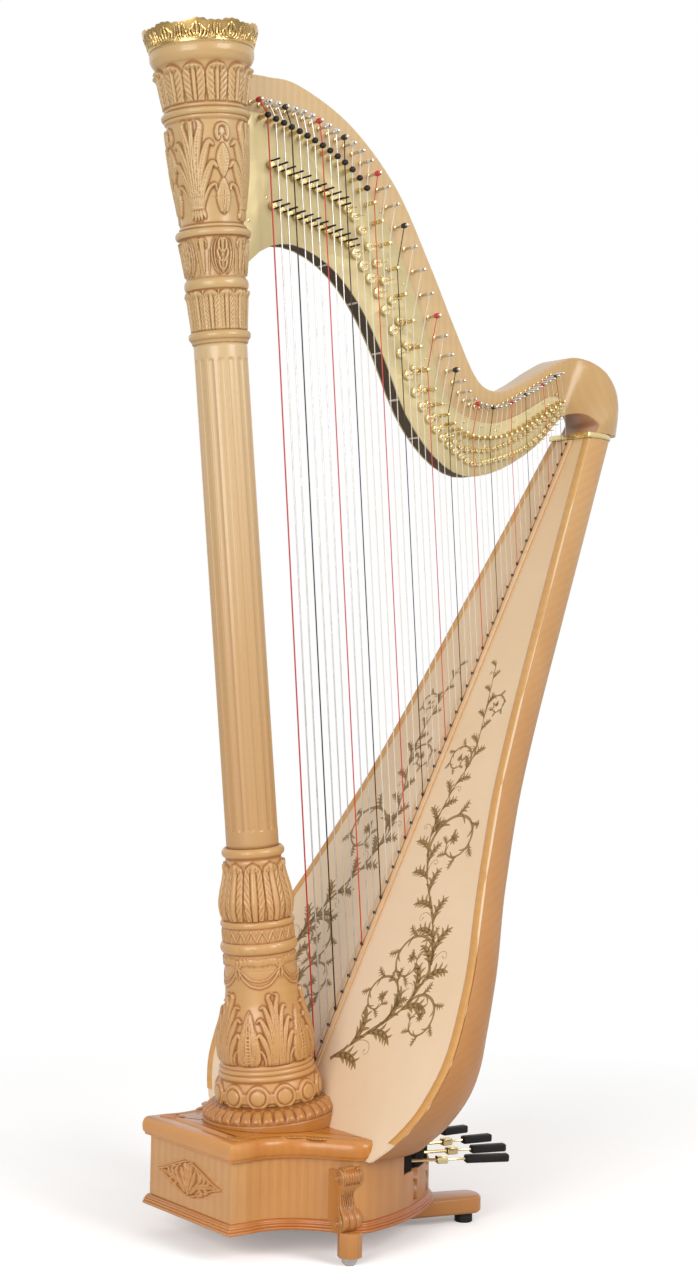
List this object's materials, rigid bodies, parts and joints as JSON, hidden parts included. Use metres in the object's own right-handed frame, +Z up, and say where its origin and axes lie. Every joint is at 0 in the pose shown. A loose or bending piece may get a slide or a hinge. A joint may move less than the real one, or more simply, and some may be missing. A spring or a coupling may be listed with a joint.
{
  "type": "pedal harp",
  "caption": "Concert pedal harp with a carved leaning column, curved neck with turning discs, tapered soundbox and a base with folding pedals.",
  "frame": {"origin": "on the floor, under the middle of the harp's overall length and width", "axes": "+Z up; +X from the column to the player, along the strings' plane; +Y to the player's right, away from the side the strings hang on"},
  "size_m": [0.9615, 0.61, 1.8395],
  "materials": {
    "action_plate_brass": "brushed pale brass",
    "casing_maple": "lacquered curly maple",
    "plinth_maple": "satin lacquered maple, moulded edge",
    "top_maple": "lacquered maple, moulded edge",
    "column_base_maple": "carved maple",
    "column_capital_maple": "carved maple",
    "crown_gilt": "gilt carved wood",
    "column_disc_maple": "carved maple, gadrooned",
    "column_shaft_maple": "fluted lacquered maple",
    "disc_brass": "gilt brass",
    "neck_maple": "lacquered curly maple",
    "channel_dark": "dark stained wood",
    "pedal_steel": "polished steel",
    "rod_steel": "plain steel",
    "tip_rubber": "black rubber on a steel tongue",
    "pedal_felt": "black felt",
    "rail_maple": "plain maple",
    "foot_maple": "carved maple",
    "band_brass": "polished brass",
    "board_spruce": "satin lacquered spruce",
    "inner_maple": "plain maple",
    "shell_maple": "lacquered curly maple",
    "rib_maple": "lacquered maple",
    "strings_gut": "gut and wound strings, some red and black"
  },
  "bodies": {
    "frame": {"action_plate_left": "action_plate_brass", "action_plate_right": "action_plate_brass", "base_casing": "casing_maple", "base_plinth": "plinth_maple", "base_top": "top_maple", "column_base": "column_base_maple", "column_capital": "column_capital_maple", "column_crown": "crown_gilt", "column_disc": "column_disc_maple", "column_shaft": "column_shaft_maple", "neck": "neck_maple", "neck_channel_cover": "channel_dark", "pedal_felt": "pedal_felt", "pedal_rail": "rail_maple", "rear_foot_left": "foot_maple", "rear_foot_right": "foot_maple", "scroll_foot_left": "foot_maple", "scroll_foot_right": "foot_maple", "shoulder_band": "band_brass", "soundboard": "board_spruce", "soundbox_bottom": "inner_maple", "soundbox_brace": "inner_maple", "soundbox_shell": "shell_maple", "string_rib": "rib_maple", "strings": "strings_gut"},
    "pedal_d": {"pedal_d_arm": "pedal_steel"},
    "pedal_d_foot": {"pedal_d_tip": "tip_rubber"},
    "rod_d": {"pedal_d_rod": "rod_steel"},
    "pedal_c": {"pedal_c_arm": "pedal_steel"},
    "pedal_c_foot": {"pedal_c_tip": "tip_rubber"},
    "rod_c": {"pedal_c_rod": "rod_steel"},
    "pedal_b": {"pedal_b_arm": "pedal_steel"},
    "pedal_b_foot": {"pedal_b_tip": "tip_rubber"},
    "rod_b": {"pedal_b_rod": "rod_steel"},
    "pedal_e": {"pedal_e_arm": "pedal_steel"},
    "pedal_e_foot": {"pedal_e_tip": "tip_rubber"},
    "rod_e": {"pedal_e_rod": "rod_steel"},
    "pedal_f": {"pedal_f_arm": "pedal_steel"},
    "pedal_f_foot": {"pedal_f_tip": "tip_rubber"},
    "rod_f": {"pedal_f_rod": "rod_steel"},
    "pedal_g": {"pedal_g_arm": "pedal_steel"},
    "pedal_g_foot": {"pedal_g_tip": "tip_rubber"},
    "rod_g": {"pedal_g_rod": "rod_steel"},
    "pedal_a": {"pedal_a_arm": "pedal_steel"},
    "pedal_a_foot": {"pedal_a_tip": "tip_rubber"},
    "rod_a": {"pedal_a_rod": "rod_steel"},
    "natural_disc_c": {"natural_disc_c": "disc_brass"},
    "natural_disc_d": {"natural_disc_d": "disc_brass"},
    "natural_disc_e": {"natural_disc_e": "disc_brass"},
    "natural_disc_f": {"natural_disc_f": "disc_brass"},
    "natural_disc_g": {"natural_disc_g": "disc_brass"},
    "natural_disc_a": {"natural_disc_a": "disc_brass"},
    "natural_disc_b": {"natural_disc_b": "disc_brass"},
    "sharp_disc_c": {"sharp_disc_c": "disc_brass"},
    "sharp_disc_d": {"sharp_disc_d": "disc_brass"},
    "sharp_disc_e": {"sharp_disc_e": "disc_brass"},
    "sharp_disc_f": {"sharp_disc_f": "disc_brass"},
    "sharp_disc_g": {"sharp_disc_g": "disc_brass"},
    "sharp_disc_a": {"sharp_disc_a": "disc_brass"},
    "sharp_disc_b": {"sharp_disc_b": "disc_brass"}
  },
  "joints": [
    {"name": "pedal_d_swing", "type": "hinge", "parent": "frame", "child": "pedal_d", "pos_m": [-0.17296, -0.09939, 0.1], "axis": [0.3681, 0.9298, 0], "range_deg": [0, 14]},
    {"name": "pedal_d_fold", "type": "hinge", "parent": "pedal_d", "child": "pedal_d_foot", "pos_m": [-0.01155, -0.1633, 0.125], "axis": [-0.3681, -0.9298, 0], "range_deg": [0, 75]},
    {"name": "rod_d_slide", "type": "slide", "parent": "frame", "child": "rod_d", "axis": [-0.1033, 0, 0.9946], "range_m": [0, 0.01721]},
    {"name": "pedal_c_swing", "type": "hinge", "parent": "frame", "child": "pedal_c", "pos_m": [-0.16248, -0.06715, 0.1], "axis": [0.2487, 0.9686, 0], "range_deg": [0, 14]},
    {"name": "pedal_c_fold", "type": "hinge", "parent": "pedal_c", "child": "pedal_c_foot", "pos_m": [0.04223, -0.11971, 0.125], "axis": [-0.2487, -0.9686, 0], "range_deg": [0, 75]},
    {"name": "rod_c_slide", "type": "slide", "parent": "frame", "child": "rod_c", "axis": [-0.1033, 0, 0.9946], "range_m": [0, 0.01623]},
    {"name": "pedal_b_swing", "type": "hinge", "parent": "frame", "child": "pedal_b", "pos_m": [-0.15613, -0.03384, 0.1], "axis": [0.1253, 0.9921, 0], "range_deg": [0, 14]},
    {"name": "pedal_b_fold", "type": "hinge", "parent": "pedal_b", "child": "pedal_b_foot", "pos_m": [0.07641, -0.06322, 0.125], "axis": [-0.1253, -0.9921, 0], "range_deg": [0, 75]},
    {"name": "rod_b_slide", "type": "slide", "parent": "frame", "child": "rod_b", "axis": [-0.1033, 0, 0.9946], "range_m": [0, 0.01564]},
    {"name": "pedal_e_swing", "type": "hinge", "parent": "frame", "child": "pedal_e", "pos_m": [-0.154, 0, 0.1], "axis": [0, 1, 0], "range_deg": [0, 14]},
    {"name": "pedal_e_fold", "type": "hinge", "parent": "pedal_e", "child": "pedal_e_foot", "pos_m": [0.089, 0, 0.125], "axis": [0, -1, 0], "range_deg": [0, 75]},
    {"name": "rod_e_slide", "type": "slide", "parent": "frame", "child": "rod_e", "axis": [-0.1033, 0, 0.9946], "range_m": [0, 0.01545]},
    {"name": "pedal_f_swing", "type": "hinge", "parent": "frame", "child": "pedal_f", "pos_m": [-0.15613, 0.03384, 0.1], "axis": [-0.1253, 0.9921, 0], "range_deg": [0, 14]},
    {"name": "pedal_f_fold", "type": "hinge", "parent": "pedal_f", "child": "pedal_f_foot", "pos_m": [0.07641, 0.06322, 0.125], "axis": [0.1253, -0.9921, 0], "range_deg": [0, 75]},
    {"name": "rod_f_slide", "type": "slide", "parent": "frame", "child": "rod_f", "axis": [-0.1033, 0, 0.9946], "range_m": [0, 0.01564]},
    {"name": "pedal_g_swing", "type": "hinge", "parent": "frame", "child": "pedal_g", "pos_m": [-0.16248, 0.06715, 0.1], "axis": [-0.2487, 0.9686, 0], "range_deg": [0, 14]},
    {"name": "pedal_g_fold", "type": "hinge", "parent": "pedal_g", "child": "pedal_g_foot", "pos_m": [0.04223, 0.11971, 0.125], "axis": [0.2487, -0.9686, 0], "range_deg": [0, 75]},
    {"name": "rod_g_slide", "type": "slide", "parent": "frame", "child": "rod_g", "axis": [-0.1033, 0, 0.9946], "range_m": [0, 0.01623]},
    {"name": "pedal_a_swing", "type": "hinge", "parent": "frame", "child": "pedal_a", "pos_m": [-0.17296, 0.09939, 0.1], "axis": [-0.3681, 0.9298, 0], "range_deg": [0, 14]},
    {"name": "pedal_a_fold", "type": "hinge", "parent": "pedal_a", "child": "pedal_a_foot", "pos_m": [-0.01155, 0.1633, 0.125], "axis": [0.3681, -0.9298, 0], "range_deg": [0, 75]},
    {"name": "rod_a_slide", "type": "slide", "parent": "frame", "child": "rod_a", "axis": [-0.1033, 0, 0.9946], "range_m": [0, 0.01721]},
    {"name": "natural_disc_c_turn", "type": "hinge", "parent": "frame", "child": "natural_disc_c", "pos_m": [-0.05677, 0, 1.55], "axis": [0, 1, 0], "range_deg": [0, 45.02]},
    {"name": "natural_disc_d_turn", "type": "hinge", "parent": "frame", "child": "natural_disc_d", "pos_m": [-0.04116, 0, 1.52554], "axis": [0, 1, 0], "range_deg": [0, 45.02]},
    {"name": "natural_disc_e_turn", "type": "hinge", "parent": "frame", "child": "natural_disc_e", "pos_m": [-0.02546, 0, 1.499], "axis": [0, 1, 0], "range_deg": [0, 45.02]},
    {"name": "natural_disc_f_turn", "type": "hinge", "parent": "frame", "child": "natural_disc_f", "pos_m": [-0.00963, 0, 1.46992], "axis": [0, 1, 0], "range_deg": [0, 45.02]},
    {"name": "natural_disc_g_turn", "type": "hinge", "parent": "frame", "child": "natural_disc_g", "pos_m": [0.00635, 0, 1.438], "axis": [0, 1, 0], "range_deg": [0, 45.02]},
    {"name": "natural_disc_a_turn", "type": "hinge", "parent": "frame", "child": "natural_disc_a", "pos_m": [0.02274, 0, 1.40045], "axis": [0, 1, 0], "range_deg": [0, 45.02]},
    {"name": "natural_disc_b_turn", "type": "hinge", "parent": "frame", "child": "natural_disc_b", "pos_m": [0.03894, 0, 1.364], "axis": [0, 1, 0], "range_deg": [0, 45.02]},
    {"name": "sharp_disc_c_turn", "type": "hinge", "parent": "frame", "child": "sharp_disc_c", "pos_m": [-0.05239, 0, 1.49997], "axis": [0, 1, 0], "range_deg": [0, 45.02]},
    {"name": "sharp_disc_d_turn", "type": "hinge", "parent": "frame", "child": "sharp_disc_d", "pos_m": [-0.03709, 0, 1.479], "axis": [0, 1, 0], "range_deg": [0, 45.02]},
    {"name": "sharp_disc_e_turn", "type": "hinge", "parent": "frame", "child": "sharp_disc_e", "pos_m": [-0.02139, 0, 1.45251], "axis": [0, 1, 0], "range_deg": [0, 45.02]},
    {"name": "sharp_disc_f_turn", "type": "hinge", "parent": "frame", "child": "sharp_disc_f", "pos_m": [-0.00544, 0, 1.422], "axis": [0, 1, 0], "range_deg": [0, 45.02]},
    {"name": "sharp_disc_g_turn", "type": "hinge", "parent": "frame", "child": "sharp_disc_g", "pos_m": [0.01083, 0, 1.38686], "axis": [0, 1, 0], "range_deg": [0, 45.02]},
    {"name": "sharp_disc_a_turn", "type": "hinge", "parent": "frame", "child": "sharp_disc_a", "pos_m": [0.02689, 0, 1.353], "axis": [0, 1, 0], "range_deg": [0, 45.02]},
    {"name": "sharp_disc_b_turn", "type": "hinge", "parent": "frame", "child": "sharp_disc_b", "pos_m": [0.04226, 0, 1.32611], "axis": [0, 1, 0], "range_deg": [0, 45.02]}
  ],
  "couplings": [
    {"joint": "rod_d_slide", "follows": "pedal_d_swing", "m_per_rad": 0.0696},
    {"joint": "rod_c_slide", "follows": "pedal_c_swing", "m_per_rad": 0.0656},
    {"joint": "rod_b_slide", "follows": "pedal_b_swing", "m_per_rad": 0.0632},
    {"joint": "rod_e_slide", "follows": "pedal_e_swing", "m_per_rad": 0.0624},
    {"joint": "rod_f_slide", "follows": "pedal_f_swing", "m_per_rad": 0.0632},
    {"joint": "rod_g_slide", "follows": "pedal_g_swing", "m_per_rad": 0.0656},
    {"joint": "rod_a_slide", "follows": "pedal_a_swing", "m_per_rad": 0.0696},
    {"joint": "natural_disc_c_turn", "follows": "pedal_c_swing", "ratio": 3.2143},
    {"joint": "natural_disc_d_turn", "follows": "pedal_d_swing", "ratio": 3.2143},
    {"joint": "natural_disc_e_turn", "follows": "pedal_e_swing", "ratio": 3.2143},
    {"joint": "natural_disc_f_turn", "follows": "pedal_f_swing", "ratio": 3.2143},
    {"joint": "natural_disc_g_turn", "follows": "pedal_g_swing", "ratio": 3.2143},
    {"joint": "natural_disc_a_turn", "follows": "pedal_a_swing", "ratio": 3.2143},
    {"joint": "natural_disc_b_turn", "follows": "pedal_b_swing", "ratio": 3.2143},
    {"joint": "sharp_disc_c_turn", "follows": "pedal_c_swing", "ratio": 3.2143},
    {"joint": "sharp_disc_d_turn", "follows": "pedal_d_swing", "ratio": 3.2143},
    {"joint": "sharp_disc_e_turn", "follows": "pedal_e_swing", "ratio": 3.2143},
    {"joint": "sharp_disc_f_turn", "follows": "pedal_f_swing", "ratio": 3.2143},
    {"joint": "sharp_disc_g_turn", "follows": "pedal_g_swing", "ratio": 3.2143},
    {"joint": "sharp_disc_a_turn", "follows": "pedal_a_swing", "ratio": 3.2143},
    {"joint": "sharp_disc_b_turn", "follows": "pedal_b_swing", "ratio": 3.2143}
  ]
}
